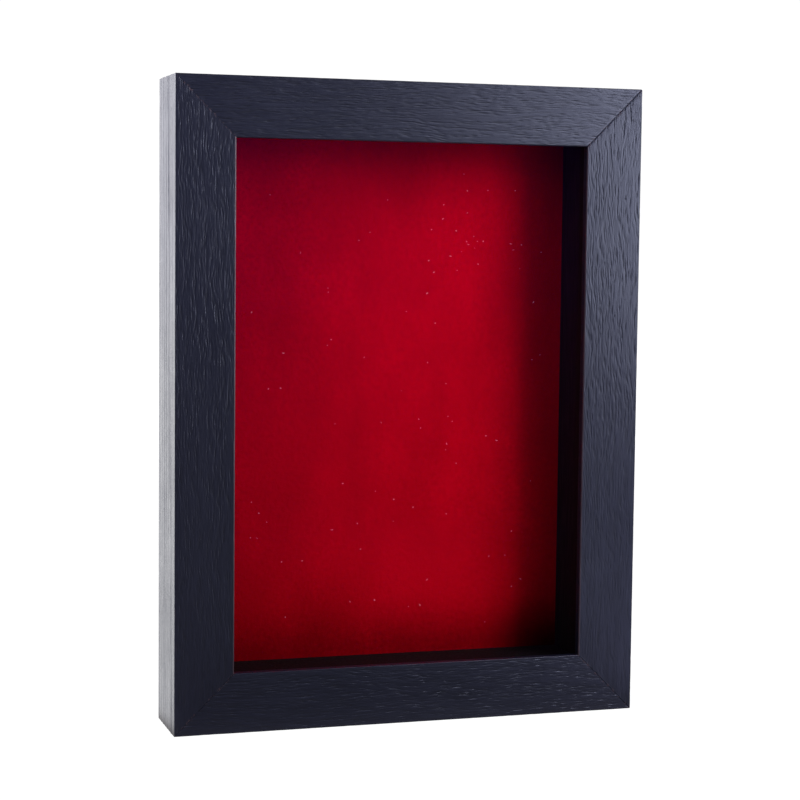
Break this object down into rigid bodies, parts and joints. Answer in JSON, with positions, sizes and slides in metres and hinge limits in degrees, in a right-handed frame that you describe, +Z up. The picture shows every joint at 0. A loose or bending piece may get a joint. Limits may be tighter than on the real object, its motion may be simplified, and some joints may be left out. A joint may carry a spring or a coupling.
{
  "type": "shadow box",
  "caption": "Deep upright shadow box: a mitred black-stained wooden frame, glazed in front, with a red velvet back held in by turn buttons and D-rings to hang it by.",
  "frame": {"origin": "centre of the underside, on the face that the box stands on", "axes": "+Z up along the longest side; -Y out of the glazed front and +Y out of the back; +X to the right as seen from the front"},
  "size_m": [0.264, 0.0506, 0.351],
  "materials": {
    "stained_wood": "blue-black stain, open grain, satin",
    "clear_glass": "polished float glass",
    "black_paint": "matt black painted strip",
    "red_velvet": "short-pile crimson velvet",
    "hardboard": "smooth brown hardboard",
    "zinc_plated_steel": "bright zinc plate",
    "bare_steel": "blued spring steel",
    "clear_rubber": "frosted translucent rubber"
  },
  "bodies": {
    "case": {"left_rail": "stained_wood", "right_rail": "stained_wood", "top_rail": "stained_wood", "bottom_rail": "stained_wood", "glazing_pane": "clear_glass", "left_spacer": "black_paint", "right_spacer": "black_paint", "top_spacer": "black_paint", "bottom_spacer": "black_paint", "velvet_lining": "red_velvet", "back_board": "hardboard", "button_screw_left_upper": "zinc_plated_steel", "button_screw_left_lower": "zinc_plated_steel", "button_screw_right_upper": "zinc_plated_steel", "button_screw_right_lower": "zinc_plated_steel", "button_screw_top": "zinc_plated_steel", "button_screw_bottom": "zinc_plated_steel", "hanger_strap_left": "zinc_plated_steel", "hanger_strap_right": "zinc_plated_steel", "hanger_screw_left_upper": "zinc_plated_steel", "hanger_screw_left_lower": "zinc_plated_steel", "hanger_screw_right_upper": "zinc_plated_steel", "hanger_screw_right_lower": "zinc_plated_steel", "v_nail_top_left_outer": "bare_steel", "v_nail_top_left_inner": "bare_steel", "v_nail_top_right_outer": "bare_steel", "v_nail_top_right_inner": "bare_steel", "v_nail_bottom_left_outer": "bare_steel", "v_nail_bottom_left_inner": "bare_steel", "v_nail_bottom_right_outer": "bare_steel", "v_nail_bottom_right_inner": "bare_steel", "wall_bumper_left": "clear_rubber", "wall_bumper_right": "clear_rubber"},
    "turn_button_left_upper": {"turn_button_left_upper": "zinc_plated_steel"},
    "turn_button_left_lower": {"turn_button_left_lower": "zinc_plated_steel"},
    "turn_button_right_upper": {"turn_button_right_upper": "zinc_plated_steel"},
    "turn_button_right_lower": {"turn_button_right_lower": "zinc_plated_steel"},
    "turn_button_top": {"turn_button_top": "zinc_plated_steel"},
    "turn_button_bottom": {"turn_button_bottom": "zinc_plated_steel"},
    "d_ring_left": {"d_ring_left": "zinc_plated_steel"},
    "d_ring_right": {"d_ring_right": "zinc_plated_steel"}
  },
  "joints": [
    {"name": "left_upper_button_turn", "type": "hinge", "parent": "case", "child": "turn_button_left_upper", "pos_m": [-0.1125, 0.02365, 0.2805], "axis": [0, 1, 0], "continuous": true},
    {"name": "left_lower_button_turn", "type": "hinge", "parent": "case", "child": "turn_button_left_lower", "pos_m": [-0.1125, 0.02365, 0.0705], "axis": [0, 1, 0], "continuous": true},
    {"name": "right_upper_button_turn", "type": "hinge", "parent": "case", "child": "turn_button_right_upper", "pos_m": [0.1125, 0.02365, 0.2805], "axis": [0, 1, 0], "continuous": true},
    {"name": "right_lower_button_turn", "type": "hinge", "parent": "case", "child": "turn_button_right_lower", "pos_m": [0.1125, 0.02365, 0.0705], "axis": [0, 1, 0], "continuous": true},
    {"name": "top_button_turn", "type": "hinge", "parent": "case", "child": "turn_button_top", "pos_m": [0, 0.02365, 0.3315], "axis": [0, 1, 0], "continuous": true},
    {"name": "bottom_button_turn", "type": "hinge", "parent": "case", "child": "turn_button_bottom", "pos_m": [0, 0.02365, 0.0195], "axis": [0, 1, 0], "continuous": true},
    {"name": "left_ring_swing", "type": "hinge", "parent": "case", "child": "d_ring_left", "pos_m": [-0.119, 0.02545, 0.236], "axis": [1, 0, 0], "range_deg": [0, 180]},
    {"name": "right_ring_swing", "type": "hinge", "parent": "case", "child": "d_ring_right", "pos_m": [0.119, 0.02545, 0.236], "axis": [1, 0, 0], "range_deg": [0, 180]}
  ]
}
